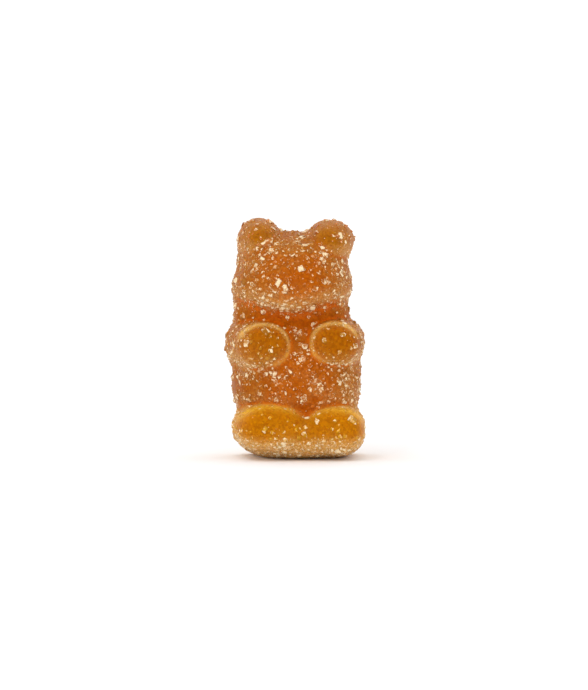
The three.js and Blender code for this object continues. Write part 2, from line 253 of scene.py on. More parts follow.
# ---------------- finish of the surfaces
# Half melted sugar, dust and scratches are some 0.1 mm and finer on the real sweet. They are
# drawn about twice as coarse, or they would not show.
MELT_SIZE = 0.22 * MM  # cells of the half melted sugar on the skin
MELT_DARK = (0.76, 0.68, 0.5)  # red, green and blue of its darkest cells, as shares of the jelly's
MELT_LIGHT = (1.22, 1.34, 1.6)  # and of its lightest cells
MELT_RELIEF = 0.06 * MM
DUST_SIZE = 0.2 * MM  # specks of pale dust
DUST_LEAST = 0.35  # how much of the dust lies between its specks
DUST_SPECK = 0.75, 0.2  # a speck's edge and full middle, in its own size
RIM_BREAKING = 0.1, 1.3  # least and most painted light of one speck on a glowing rim
RIPPLE_SIZE = 0.8 * MM  # slow ripples of the skin
RIPPLE_RELIEF = 0.05 * MM
RELIEF_STRENGTH = 0.6
SCATTER_DEPTH = 0.8 * MM  # how deep light goes into the jelly
SCATTER_SHARES = (1.0, 0.35, 0.08)  # how deep red, green and blue light go, as shares of that
JELLY_ROUGHNESS = 0.25, 0.5  # in the ripples' hollows and on their crests
GRIT_SIZE = 0.2 * MM  # scratches on a grain's facets
GRIT_CONTRAST = 3  # how unevenly one facet is frosted
FACET_FROST_AND_GLINT_CONTRAST = 1.6  # how differently the facets of one grain are frosted, partly frost and partly painted glints
FACET_SHADE = 0.3  # how much lighter or darker a clear facet is: painted facet shading
FROST_POWER = 2.0  # makes spots that are frosted in part fainter
SUGAR_ROUGHNESS = 0.08, 0.4  # between the scratches and on them
JELLY_IOR, SUGAR_IOR = 1.45, 1.54  # of gelatine with syrup, and of sugar crystals
# How much both shine, low because a skin this rough would otherwise look veiled in white.
JELLY_SHINE, SUGAR_SHINE = 0.03, 0.1

# Sockets of a Mix node for colours: its share, what lies under and over, and what comes out.
SHARE, UNDER, OVER, MIXED = 0, 6, 7, 2

# ---------------- stage, in metres
TABLE_REACH = 1.5  # from its middle to each side
LAMP_SIZE = 0.04
LAMP_PLACE = Vector((-0.06, -0.09, 0.13))
LAMP_AIM = Vector((0, 0, 0.012))
NEAREST_SEEN = 0.01  # as a share of the camera's distance


def linear(hex_colour):
    """An sRGB hex colour as linear red, green, blue."""
    channels = (int(hex_colour[i:i + 2], 16) / 255 for i in (1, 3, 5))
    return tuple(c / 12.92 if c <= 0.04045 else ((c + 0.055) / 1.055) ** 2.4 for c in channels)


def smooth_step(values, start, end):
    """0 up to the start and 1 past the end, with a soft rise between them."""
    share = np.clip((values - start) / (end - start), 0, 1)
    return share * share * (3 - 2 * share)


def between(first, last, share):
    """The value at a share of the way from the first to the last."""
    return first + (last - first) * share


# ---------------- the bear's distance field
def swelling_place(x, y, z, swelling):
    """Where places in mm lie against one swelling: across and along it from its axis, outwards
    from the back, and its half width, half height and depth there."""
    at_x, at_z, half_width, half_height, depth, _, _, taper, lean_x, lean_z = swelling
    outward = BACK_Y - y
    lean = np.clip(outward / (depth * DEPTH), 0, 1)
    across = x - (at_x + lean_x * lean) * WIDTH
    along = z - (at_z + lean_z * lean) * HEIGHT
    size = 1 - taper * lean
    half_width = half_width * WIDTH * size
    half_height = half_height * HEIGHT * size
    return across, along, outward, half_width, half_height, depth * DEPTH


def swelling_distance(x, y, z, swelling):
    """Roughly the distance to one swelling, negative inside it, for arrays of places in mm."""
    outline, crown = swelling[5:7]
    across, along, outward, half_width, half_height, depth = swelling_place(x, y, z, swelling)
    across, along, outward = np.abs(across), np.abs(along), np.abs(outward)
    rim = ((across / half_width) ** outline + (along / half_height) ** outline) ** (1 / outline)
    level = np.maximum((rim ** crown + (outward / depth) ** crown) ** (1 / crown), 1e-6)
    return np.sqrt(across ** 2 + along ** 2 + outward ** 2) * (1 - 1 / level)


def swelling_weight(x, y, z, swelling):
    """How much one swelling counts at places in mm: 1 on its surface, and more inside it."""
    power = -swelling_distance(x, y, z, swelling) / CREASE_SOFTNESS
    return np.exp(np.clip(power, -LARGEST_POWER, LARGEST_POWER))


def bear_distance(x, y, z):
    """Roughly the distance to the whole bear, negative inside it, soles not yet cut flat."""
    total = sum(swelling_weight(x, y, z, swelling) for swelling in SWELLINGS.values())
    union = -CREASE_SOFTNESS * np.log(total)
    from_middle = (2 * x / WIDTH) ** 2 + (2 * z / HEIGHT - 1) ** 2
    back = y - BACK_Y + BACK_DOME * from_middle
    greater = np.maximum(union, back)
    distance = greater + BACK_EDGE_SOFTNESS * np.log(
        np.exp((union - greater) / BACK_EDGE_SOFTNESS)
        + np.exp((back - greater) / BACK_EDGE_SOFTNESS))
    for wave_x, wave_y, wave_z, phase, height in WAVES:
        distance = distance + height * np.sin(wave_x * x + wave_y * y + wave_z * z + phase)
    return distance


def bear_slope(point):
    """The way out of the bear at one point, not yet of length 1."""
    ahead = point[:, None] + np.eye(3) * SLOPE_STEP
    behind = point[:, None] - np.eye(3) * SLOPE_STEP
    return (bear_distance(*ahead) - bear_distance(*behind)) / (2 * SLOPE_STEP)


def point_on_bear(spine_height, direction):
    """The outermost point of the bear along a direction from a place on its spine."""
    spine = np.array([0, SPINE_Y, spine_height])
    low, high = 0.0, HEIGHT / 2
    for samples in RAY_SAMPLES:
        reach = np.linspace(high, low, samples)
        at = spine[:, None] + direction[:, None] * reach
        inside = bear_distance(*at) <= 0
        first = int(np.argmax(inside))
        high, low = reach[max(first - 1, 0)], reach[first]
    return spine + direction * low


def point_on_front(x, z):
    """The surface point of the bear's front at a place seen from ahead."""
    y = np.arange(-DEPTH, BACK_Y, FRONT_STEP)
    return np.array([x, y[int(np.argmax(bear_distance(x, y, z) <= 0))], z])


# ---------------- meshes from arrays
def new_mesh_object(name, points, faces, corner_counts):
    """An object from an array of points, all faces' corners in a row, and corners per face."""
    mesh = bpy.data.meshes.new(name)
    mesh.vertices.add(len(points))
    mesh.vertices.foreach_set("co", np.asarray(points, dtype=np.float32).ravel())
    mesh.loops.add(len(faces))
    mesh.loops.foreach_set("vertex_index", np.asarray(faces, dtype=np.int32))
    mesh.polygons.add(len(corner_counts))
    starts = np.concatenate([[0], np.cumsum(corner_counts)[:-1]]).astype(np.int32)
    mesh.polygons.foreach_set("loop_start", starts)
    mesh.update(calc_edges=True)
    mesh.validate()
    piece = bpy.data.objects.new(name, mesh)
    bpy.context.scene.collection.objects.link(piece)
    return piece


def set_attribute(mesh, name, values):
    """Keeps one number for each vertex."""
    attribute = mesh.attributes.new(name, "FLOAT", "POINT")
    attribute.data.foreach_set("value", np.asarray(values, dtype=np.float32))


def get_attribute(mesh, name):
    """The numbers that were kept for the vertices."""
    values = np.empty(len(mesh.vertices), dtype=np.float32)
    mesh.attributes[name].data.foreach_get("value", values)
    return values


def vertex_places(mesh):
    """The places of the vertices, one a row."""
    places = np.empty(len(mesh.vertices) * 3, dtype=np.float32)
    mesh.vertices.foreach_get("co", places)
    return places.reshape(-1, 3).astype(float)


def vertex_normals(mesh):
    """The unit normals at the vertices, one a row."""
    normals = np.empty(len(mesh.vertices) * 3, dtype=np.float32)
    mesh.vertex_normals.foreach_get("vector", normals)
    return normals.reshape(-1, 3).astype(float)


def surface_nets(values, low, cell):
    """Points and four-cornered faces of the surface where a grid of distances crosses zero. Each
    grid edge that crosses it gives a face between the four grid cells around the edge, and each
    cell has one point, in the middle of the crossings on its edges."""
    shape = np.array(values.shape)
    strides = np.array([shape[1] * shape[2], shape[2], 1])
    inside = values < 0
    cells, places = [], []
    for axis in range(3):
        near = [slice(None)] * 3
        far = [slice(None)] * 3
        near[axis], far[axis] = slice(None, -1), slice(1, None)
        crossing = inside[tuple(near)] != inside[tuple(far)]
        index = np.argwhere(crossing)
        before = values[tuple(near)][crossing]
        after = values[tuple(far)][crossing]
        place = index.astype(float)
        place[:, axis] += before / (before - after)
        flat = index @ strides
        second, third = strides[(axis + 1) % 3], strides[(axis + 2) % 3]
        ring = np.stack([flat, flat - second, flat - second - third, flat - third], axis=1)
        leaving = inside[tuple(near)][crossing]
        ring[~leaving] = ring[~leaving, ::-1]
        cells.append(ring)
        places.append(np.repeat(place, 4, axis=0))
    ring = np.concatenate(cells)
    place = np.concatenate(places)
    _, corner = np.unique(ring.ravel(), return_inverse=True)
    count = np.bincount(corner)
    points = np.stack(
        [np.bincount(corner, weights=place[:, axis]) / count for axis in range(3)], axis=1)
    return np.asarray(low) + points * cell, corner.reshape(-1, 4)


def bear_surface(cell):
    """Points in mm and four-cornered faces of the bear, with its soles cut flat."""
    low = np.array([-WIDTH / 2 - GRID_MARGIN, -DEPTH / 2 - GRID_MARGIN, -2 * cell])
    high = np.array([WIDTH / 2 + GRID_MARGIN, DEPTH / 2 + GRID_MARGIN, HEIGHT + GRID_MARGIN])
    steps = [np.arange(low[axis], high[axis], cell) for axis in range(3)]
    grid = np.meshgrid(*steps, indexing="ij", sparse=True)
    values = np.maximum(bear_distance(*grid), -grid[2])
    points, quads = surface_nets(values, low, cell)
    if not len(quads):
        raise RuntimeError("the grid doesn't meet the bear")
    return points, quads


# ---------------- what each vertex is like
def surface_shares(x, y, z):
    """What the colours need at places on the surface, each from 0 to 1: the ears, all the limbs,
    the feet, the creases, the flat faces of paws and feet, and the upper and inner rims around
    these, where a glow of light through the jelly is painted and sugar gathers."""
    weights = {
        name: swelling_weight(x, y, z, swelling) for name, swelling in SWELLINGS.items()}
    total = sum(weights.values())
    groups = [-CREASE_SOFTNESS * np.log(sum(weights[name] for name in group)) for group in GROUPS]
    nearest, second = np.sort(groups, axis=0)[:2]
    crease = smooth_step(second - nearest, *CREASE_WIDTH)
    ears = sum(weights[name] for name in EARS) / total
    feet = sum(weights[name] for name in FEET) / total
    limbs = feet + sum(weights[name] for name in ARMS) / total
    face, rim = 0, 0
    for name, (turn, reach, rim_width) in LIMBS.items():
        across, along, outward, half_width, half_height, depth = swelling_place(
            x, y, z, SWELLINGS[name])
        past_shoulder = outward / depth - np.hypot(
            reach * across / half_width, along / half_height)
        face = np.maximum(face, smooth_step(past_shoulder, *FACE))
        inward = -across * np.sign(SWELLINGS[name][0]) / half_width
        # The upper and inner sides of each rim get the painted glow of light coming through the
        # jelly.
        towards_light = np.maximum(along / half_height, turn * inward)
        band = np.exp(-(past_shoulder / rim_width) ** 2)
        rim = rim + weights[name] / total * band * smooth_step(towards_light, *LIT_RIM)
    return ears, limbs, feet, crease, limbs * face, rim


def spots(points, facing_front, places):
    """How much of soft round spots on the front, given as x, z, radius and strength, shows."""
    share = np.zeros(len(points))
    for x, z, radius, strength in places:
        away = np.hypot(points[:, 0] - x, points[:, 2] - z) / radius
        share = np.maximum(share, strength * np.exp(-away ** 2) * facing_front)
    return share


def coat(points, normals):
    """What the materials and the scattering need at each vertex, by name."""
    _, y, z = points.T
    sideways, backwards, upwards = normals.T
    forwards = -backwards
    ears, limbs, feet, crease, face, rim = surface_shares(*points.T)
    facing_front = smooth_step(forwards, *FRONT_TURN)
    thick = spots(points, facing_front, THICK_SUGAR)
    clean = spots(points, facing_front, [(*spot, 1) for spot in CLEAN_JELLY])
    low = smooth_step(z, *LOW_EDGE)
    flank = smooth_step(np.maximum(np.abs(sideways), upwards), *SIDE_TURN)
    under = np.clip(-upwards, 0, 1)

    neck = smooth_step(z, *NECK_FROM_BELOW) * smooth_step(z, *NECK_FROM_ABOVE)
    neck = neck * smooth_step(-y, *NECK_FROM_FRONT)
    neck *= smooth_step(forwards, *NECK_TURN) * (1 - limbs)
    at_the_ears = smooth_step(z, *EAR_HEIGHT)
    crease = crease * smooth_step(forwards, *CREASE_TURN) * (1 - EAR_CREASES_FILLED * at_the_ears)
    face = face * (1 - low) * (PAW_FACES_RUBBED + (1 - PAW_FACES_RUBBED) * feet)
    rubbed = np.clip(np.maximum.reduce([crease, face, feet * rim, neck, clean]), 0, 1)

    dust_and_painted_bounce = DUST_EVERYWHERE + (DUST_ON_SIDES + DUST_ON_FEET_SIDES * feet) * flank
    # Paler where the skin faces down and low on the feet: sugar dust and painted bounce light.
    dust_and_painted_bounce = dust_and_painted_bounce + DUST_AND_PAINTED_BOUNCE_UNDERNEATH * under + DUST_BEHIND * np.clip(backwards, 0, 1)
    dust_and_painted_bounce = (dust_and_painted_bounce + DUST_AND_PAINTED_BOUNCE_LOW_ON_FEET * low * limbs) * (1 - DUST_RUBBED_OFF * rubbed)
    dust_and_painted_bounce += DUST_IN_THICK_SUGAR * thick + DUST_ON_PAW_RIMS * rim * (1 - feet)

    sugar = GRAINS_EVERYWHERE + GRAINS_UNDERNEATH * under + GRAINS_ON_LIMBS * limbs
    sugar = sugar * (1 - GRAINS_RUBBED_OFF * rubbed) * (1 - GRAINS_OFF_EARS * ears)
    sugar += GRAINS_IN_THICK_SUGAR * thick + GRAINS_ON_PAW_RIMS * rim * (1 - feet)
    clump = np.array([noise.noise(place / CLUMP_SIZE) for place in points])
    sugar *= np.clip(1 + CLUMPING * clump, *CLUMP_RANGE)

    side_tint = SIDE_TINT * flank
    return {
        "ears": ears, "limbs": limbs - side_tint * (limbs - feet), "feet": feet,
        "flank": side_tint * (1 - feet) * (1 - ears), "crease": crease, "rim": rim,
        "dust_and_painted_bounce": np.clip(dust_and_painted_bounce, 0, 1), "sugar": sugar, "thick": thick, "clump": clump,
    }


# ---------------- largest grains
class SeededRandom:
    """Park and Miller's generator, which gives the solid its draws too."""

    FACTOR, MODULUS = 16807, 2147483647

    def __init__(self, seed):
        self.state = seed

    def draw(self):
        self.state = (self.state * self.FACTOR) % self.MODULUS
        return self.state / self.MODULUS


def grain_turn(turns, outward):
    """Rotation of a grain that lies on its flat side, spun and tilted by three shares."""
    spin = Matrix.Rotation(2 * math.pi * turns[0], 3, "Z")
    tilt_x = Matrix.Rotation(MOST_TILT * (2 * turns[1] - 1), 3, "X")
    tilt_y = Matrix.Rotation(MOST_TILT * (2 * turns[2] - 1), 3, "Y")
    upright = Vector((0, 0, 1)).rotation_difference(Vector(outward)).to_matrix()
    return np.array(upright @ tilt_y @ tilt_x @ spin)


def point_around_spine(share, heading):
    """The point of the bear that a ray from its spine meets, at a share of the way up. Rays past
    an end of the spine fan out from that end, so that points lie on crown and soles too."""
    cap = HEIGHT / 2 - (SPINE_HIGH - SPINE_LOW) / 2
    height = SPINE_LOW - cap + (SPINE_HIGH - SPINE_LOW + 2 * cap) * share
    spine_height = min(max(height, SPINE_LOW), SPINE_HIGH)
    climb = (height - spine_height) / cap
    reach = math.sqrt(1 - climb * climb)
    return point_on_bear(
        spine_height, np.array([reach * math.cos(heading), reach * math.sin(heading), climb]))


def on_bare_patch(point):
    """Whether a point is on the front, in one of the patches with little sugar."""
    return point[1] < 0 and any(
        math.hypot(point[0] - x, point[2] - z) < radius for x, z, radius in BARE_PATCHES)


def largest_grains():
    """Centres, turns and sizes in mm of the grains that the solid has too: first those in plain
    sight, then others all around."""
    random = SeededRandom(GRAIN_SEED)
    points, turns, sizes = [], [], []
    for _ in range(MOST_TRIES):
        if len(points) == GRAIN_COUNT:
            break
        in_plain_sight = len(points) < len(FRONT_GRAINS)
        smallness = random.draw() if in_plain_sight else len(points) / GRAIN_COUNT
        heading = 2 * math.pi * random.draw()
        way_up = random.draw()
        turn = [random.draw() for _ in range(3)]
        width = between(LEAST_GRAIN_WIDTH, 1, random.draw())
        thickness = between(*GRAIN_THICKNESSES, random.draw())
        if in_plain_sight:
            point = point_on_front(*FRONT_GRAINS[len(points)])
        else:
            point = point_around_spine(way_up, heading)
            if min(np.linalg.norm(point - other) for other in points) < GRAIN_SPACING:
                continue
            if point[2] < CLEAR_OF_SOLES:
                continue
            if on_bare_patch(point) and random.draw() >= SHARE_KEPT_ON_BARE_PATCHES:
                continue
        points.append(point)
        turns.append(turn)
        sizes.append(
            between(LARGEST_GRAIN, SMALLEST_GRAIN, smallness) * np.array([1, width, thickness]))

    centres, matrices = [], []
    for point, turn, size in zip(points, turns, sizes):
        slope = bear_slope(point)
        outward = slope / np.linalg.norm(slope)
        centres.append(point - outward * GRAIN_SINK * size[0])
        matrices.append(grain_turn(turn, outward))
    return np.array(centres), np.array(matrices), np.array(sizes)


def placed(shape_points, centres, matrices, sizes):
    """The points of one shape at every grain's size, turn and place, one grain a row."""
    return centres[:, None] + np.einsum(
        "nij,nkj->nki", matrices, shape_points * sizes[:, None])


def middle_of_all(points):
    """The middle in mm of the jelly with its largest grains, which stands over the origin."""
    corners = placed(np.array(BLOCK_CORNERS), *largest_grains())
    extent = np.concatenate([points, corners.reshape(-1, 3)])
    middle = (extent.min(axis=0) + extent.max(axis=0)) / 2
    middle[2] = 0
    return middle


# ---------------- shapes of single grains
def shape_arrays(shape):
    """Points, corners in a row and corners per face of a shape, which is then let go."""
    shape.verts.index_update()
    points = np.array([vertex.co[:] for vertex in shape.verts])
    corners = [vertex.index for face in shape.faces for vertex in face.verts]
    counts = [len(face.verts) for face in shape.faces]
    shape.free()
    return points, np.array(corners), np.array(counts)


def block_shape():
    """A crystal like a block with its edges worn."""
    shape = bmesh.new()
    bmesh.ops.create_cube(shape, size=1)
    bmesh.ops.bevel(
        shape, geom=shape.edges[:], offset=BLOCK_CHAMFER, segments=1, affect="EDGES",
        profile=0.5)
    return shape_arrays(shape)


def pebble_shape():
    """A rough crystal with twenty faces."""
    shape = bmesh.new()
    bmesh.ops.create_icosphere(shape, subdivisions=1, radius=CRYSTAL_RADIUS)
    return shape_arrays(shape)


def chip_shape():
    """A chip with eight faces."""
    shape = bmesh.new()
    bmesh.ops.create_uvsphere(shape, u_segments=4, v_segments=2, radius=CRYSTAL_RADIUS)
    return shape_arrays(shape)


# ---------------- grains as joined meshes
# A kind of small grains: how many are drawn, the least and most length, how closely they lie at
# each vertex of the jelly, and their least distance, in lengths of a middling one.
SmallGrains = namedtuple("SmallGrains", "name shape count least most density spacing")


def lying_turns(random, normals):
    """Rotation matrices of grains that lie nearly flat on a surface, each spun at random."""
    upright = normals + random.normal(scale=SMALL_UNREST, size=normals.shape)
    upright /= np.linalg.norm(upright, axis=1, keepdims=True)
    side = np.cross(upright, random.normal(size=normals.shape))
    side /= np.linalg.norm(side, axis=1, keepdims=True)
    return np.stack([side, np.cross(upright, side), upright], axis=2)


def grains_object(random, name, shape, centres, matrices, sizes, numbers):
    """One mesh of many grains, with some numbers kept for each grain, all lengths in metres."""
    points, corners, counts = shape
    points = points[None] + random.uniform(-CHIPPING, CHIPPING, (len(centres), *points.shape))
    grains = placed(points, centres, matrices, sizes)
    per_grain = grains.shape[1]
    first = np.arange(len(grains)) * per_grain
    piece = new_mesh_object(
        name, grains.reshape(-1, 3), (first[:, None] + corners[None]).ravel(),
        np.tile(counts, len(grains)))
    for number, values in numbers.items():
        set_attribute(piece.data, number, np.repeat(values, per_grain))
    # A random number for each facet, for its frost, its painted glint and its painted shading.
    facets = piece.data.attributes.new("facet", "FLOAT", "FACE")
    facets.data.foreach_set("value", random.random(len(piece.data.polygons)).astype(np.float32))
    return piece


def scatter(random, jelly, count, density):
    """Places spread over the jelly by a density kept at its vertices, with the normal at each
    place and the number of a vertex close to it."""
    mesh = jelly.data
    mesh.calc_loop_triangles()
    triangles = np.empty(len(mesh.loop_triangles) * 3, dtype=np.int32)
    mesh.loop_triangles.foreach_get("vertices", triangles)
    triangles = triangles.reshape(-1, 3)
    points = vertex_places(mesh)
    normals = vertex_normals(mesh)
    a, b, c = (points[triangles[:, corner]] for corner in range(3))
    areas = np.linalg.norm(np.cross(b - a, c - a), axis=1) / 2
    weights = areas * density[triangles].mean(axis=1)
    chosen = random.choice(len(triangles), size=count, p=weights / weights.sum())
    u, v = random.random((2, count))
    u, v = np.where(u + v > 1, 1 - u, u), np.where(u + v > 1, 1 - v, v)
    shares = np.stack([1 - u - v, u, v], axis=1)
    corners = triangles[chosen]
    place = np.einsum("nc,ncx->nx", shares, points[corners])
    normal = np.einsum("nc,ncx->nx", shares, normals[corners])
    normal /= np.linalg.norm(normal, axis=1, keepdims=True)
    return place, normal, corners[:, 0]


def tree_of(places):
    """A tree that finds the places near any other."""
    tree = KDTree(len(places))
    for index, place in enumerate(places):
        tree.insert(place, index)
    tree.balance()
    return tree


def thinned(places, spacing):
    """Which places stay when each keeps its distance to those before it."""
    tree = tree_of(places)
    stays = np.ones(len(places), dtype=bool)
    for index, place in enumerate(places):
        if stays[index]:
            for _, other, _ in tree.find_range(place, spacing):
                if other > index:
                    stays[other] = False
    return stays


def nearest_vertices(jelly, places):
    """The number of the jelly's vertex nearest to each place."""
    tree = tree_of([vertex.co for vertex in jelly.data.vertices])
    return np.array([tree.find(place)[1] for place in places])


def largest_sugar(random, jelly, skin, look):
    """The solid's grains again, as worn crystals, the ones in plain sight frosted most."""
    centres, matrices, sizes = largest_grains()
    centres = (centres - np.array(jelly["middle_mm"])) * MM
    nearest = nearest_vertices(jelly, centres)
    numbers = {name: skin[name][nearest] for name in GRAIN_TINTS}
    in_plain_sight = np.arange(len(centres)) < len(FRONT_GRAINS)
    numbers["frost"] = np.where(in_plain_sight, look.front_frost, look.back_frost)
    numbers["frost"] += random.normal(scale=LARGE_FROST_SPREAD, size=len(centres))
    return grains_object(
        random, "largest_sugar", block_shape(), centres, matrices, sizes * MM, numbers)


def small_sugar(random, jelly, skin, kind):
    """One mesh of one kind of small grains, where the larger ones are laid first."""
    place, normal, vertex = scatter(random, jelly, kind.count, kind.density)
    length = between(kind.least, kind.most, random.random(kind.count) ** 2)
    order = np.argsort(-length)
    place, normal, vertex, length = place[order], normal[order], vertex[order], length[order]
    stays = place[:, 2] > CLEAR_OF_TABLE * kind.most
    if kind.spacing:
        stays &= thinned(place, kind.spacing * (kind.least + kind.most) / 2)
    place, normal, vertex, length = place[stays], normal[stays], vertex[stays], length[stays]
    sizes = length[:, None] * np.stack(
        [np.ones(len(length)), random.uniform(*SMALL_WIDTHS, len(length)),
         random.uniform(*SMALL_THICKNESSES, len(length))], axis=1)
    centres = place - normal * sizes[:, 2:] * SMALL_SINK
    numbers = {name: skin[name][vertex] for name in GRAIN_TINTS}
    paleness = (FROST_OF_DUST * numbers["dust_and_painted_bounce"] + FROST_OF_THICK_SUGAR * skin["thick"][vertex]
                + FROST_OF_CLUMPS * skin["clump"][vertex])
    numbers["frost"] = random.normal(SMALL_FROST, SMALL_FROST_SPREAD, len(length)) + paleness
    return grains_object(
        random, kind.name, kind.shape, centres, lying_turns(random, normal), sizes, numbers)


# ---------------- materials
def add_node(tree, kind, settings=None, inputs=None):
    """Adds a node with its settings, and links or sets its inputs."""
    node = tree.nodes.new(kind)
    for name, value in (settings or {}).items():
        setattr(node, name, value)
    for name, value in (inputs or {}).items():
        if isinstance(value, bpy.types.NodeSocket):
            tree.links.new(value, node.inputs[name])
        else:
            node.inputs[name].default_value = value
    return node


def new_material(name):
    """A material with nothing in its node tree yet, and the tree."""
    material = bpy.data.materials.new(name)
    material.use_nodes = True
    material.node_tree.nodes.clear()
    return material, material.node_tree


def finish_material(tree, settings):
    """The surface's own shader, from its settings, and the material's output."""
    shader = add_node(tree, "ShaderNodeBsdfPrincipled", {}, settings)
    add_node(tree, "ShaderNodeOutputMaterial", {}, {"Surface": shader.outputs[0]})


def tinted(tree, colour, tints):
    """A colour with tints laid over it, each as far as its share reaches at the vertices."""
    for share, tint in tints:
        kept = add_node(tree, "ShaderNodeAttribute", {"attribute_name": share})
        colour = add_node(
            tree, "ShaderNodeMix", {"data_type": "RGBA"},
            {SHARE: kept.outputs["Fac"], UNDER: colour, OVER: (*tint, 1)}).outputs[MIXED]
    return colour


def with_painted_rim_glow(tree, colour, speck_tones, yellow):
    """The jelly's colour with a painted glow: yellow in specks where light comes through the rims.
    """
    rim = add_node(tree, "ShaderNodeAttribute", {"attribute_name": "rim"})
    dimmest, brightest = RIM_BREAKING
    broken = add_node(
        tree, "ShaderNodeMapRange", {},
        {"Value": speck_tones, "To Min": dimmest, "To Max": brightest})
    lit = add_node(
        tree, "ShaderNodeMath", {"operation": "MULTIPLY", "use_clamp": True},
        {0: broken.outputs[0], 1: rim.outputs["Fac"]})
    return add_node(
        tree, "ShaderNodeMix", {"data_type": "RGBA"},
        {SHARE: lit.outputs[0], UNDER: colour, OVER: (*yellow, 1)}).outputs[MIXED]


def with_dust_specks_and_painted_bounce(tree, colour, speck_distances, dust):
    """The jelly's colour under specks of fine sugar melted onto it. Underneath and low on the feet
    the specks also paint bounce light from below.
    """
    edge, middle = DUST_SPECK
    speck = add_node(
        tree, "ShaderNodeMapRange", {},
        {"Value": speck_distances, "From Min": edge, "From Max": middle, "To Min": DUST_LEAST})
    dust_and_painted_bounce = add_node(tree, "ShaderNodeAttribute", {"attribute_name": "dust_and_painted_bounce"})
    dusted = add_node(
        tree, "ShaderNodeMath", {"operation": "MULTIPLY"},
        {0: speck.outputs[0], 1: dust_and_painted_bounce.outputs["Fac"]})
    return add_node(
        tree, "ShaderNodeMix", {"data_type": "RGBA"},
        {SHARE: dusted.outputs[0], UNDER: colour, OVER: (*dust, 1)}).outputs[MIXED]


def jelly_material(look):
    """Gelatine jelly cast in starch: soft, cloudy and full of light, with a skin of half melted
    sugar that leaves it satin, finely mottled and, where the sugar lies thick, pale."""
    material, tree = new_material("cast_gelatine_jelly")
    place = add_node(tree, "ShaderNodeTexCoord").outputs["Object"]
    melt = add_node(
        tree, "ShaderNodeTexVoronoi", {}, {"Vector": place, "Scale": 1 / MELT_SIZE})
    specks = add_node(
        tree, "ShaderNodeTexVoronoi", {}, {"Vector": place, "Scale": 1 / DUST_SIZE})
    ripple = add_node(
        tree, "ShaderNodeTexNoise", {}, {"Vector": place, "Scale": 1 / RIPPLE_SIZE, "Detail": 3.0})

    colour = tinted(tree, (*look.orange, 1), (
        ("flank", look.brown_orange), ("ears", look.brown_amber), ("limbs", look.amber),
        ("feet", look.golden), ("crease", look.deep_orange)))
    mottling = add_node(
        tree, "ShaderNodeMix", {"data_type": "RGBA"},
        {SHARE: melt.outputs["Color"], UNDER: (*MELT_DARK, 1), OVER: (*MELT_LIGHT, 1)})
    colour = add_node(
        tree, "ShaderNodeMix", {"data_type": "RGBA", "blend_type": "MULTIPLY"},
        {SHARE: 1.0, UNDER: colour, OVER: mottling.outputs[MIXED]}).outputs[MIXED]
    # Painted glow: yellow specks where light comes through the upper rims of paws and feet.
    colour = with_painted_rim_glow(tree, colour, specks.outputs["Color"], look.yellow)
    # Pale specks of sugar dust, which underneath also paint bounce light from below.
    colour = with_dust_specks_and_painted_bounce(tree, colour, specks.outputs["Distance"], look.dust)

    pits = add_node(
        tree, "ShaderNodeBump", {},
        {"Height": melt.outputs["Distance"], "Strength": RELIEF_STRENGTH,
         "Distance": MELT_RELIEF})
    relief = add_node(
        tree, "ShaderNodeBump", {},
        {"Height": ripple.outputs[0], "Strength": RELIEF_STRENGTH, "Distance": RIPPLE_RELIEF,
         "Normal": pits.outputs[0]})
    smoothest, roughest = JELLY_ROUGHNESS
    gloss = add_node(
        tree, "ShaderNodeMapRange", {},
        {"Value": ripple.outputs[0], "To Min": smoothest, "To Max": roughest})
    finish_material(tree, {
        "Base Color": colour, "Roughness": gloss.outputs[0], "Normal": relief.outputs[0],
        "IOR": JELLY_IOR, "Specular IOR Level": JELLY_SHINE, "Subsurface Weight": 0.3,
        "Subsurface Scale": SCATTER_DEPTH, "Subsurface Radius": SCATTER_SHARES})
    return material


def frost_and_painted_glints(tree, facet, grit):
    """How white each spot of a grain is, from its own frost, its facet and its scratches. The
    facet's share also paints glints.
    """
    frost = add_node(tree, "ShaderNodeAttribute", {"attribute_name": "frost"})
    uneven = add_node(
        tree, "ShaderNodeMath", {"operation": "MULTIPLY_ADD"},
        {0: facet.outputs["Fac"], 1: FACET_FROST_AND_GLINT_CONTRAST, 2: frost.outputs["Fac"]})
    mottled = add_node(
        tree, "ShaderNodeMath", {"operation": "MULTIPLY_ADD"},
        {0: grit.outputs[0], 1: GRIT_CONTRAST, 2: uneven.outputs[0]})
    centred = add_node(
        tree, "ShaderNodeMath", {"operation": "SUBTRACT", "use_clamp": True},
        {0: mottled.outputs[0], 1: (FACET_FROST_AND_GLINT_CONTRAST + GRIT_CONTRAST) / 2})
    sparse = add_node(
        tree, "ShaderNodeMath", {"operation": "POWER"}, {0: centred.outputs[0], 1: FROST_POWER})
    return sparse.outputs[0]


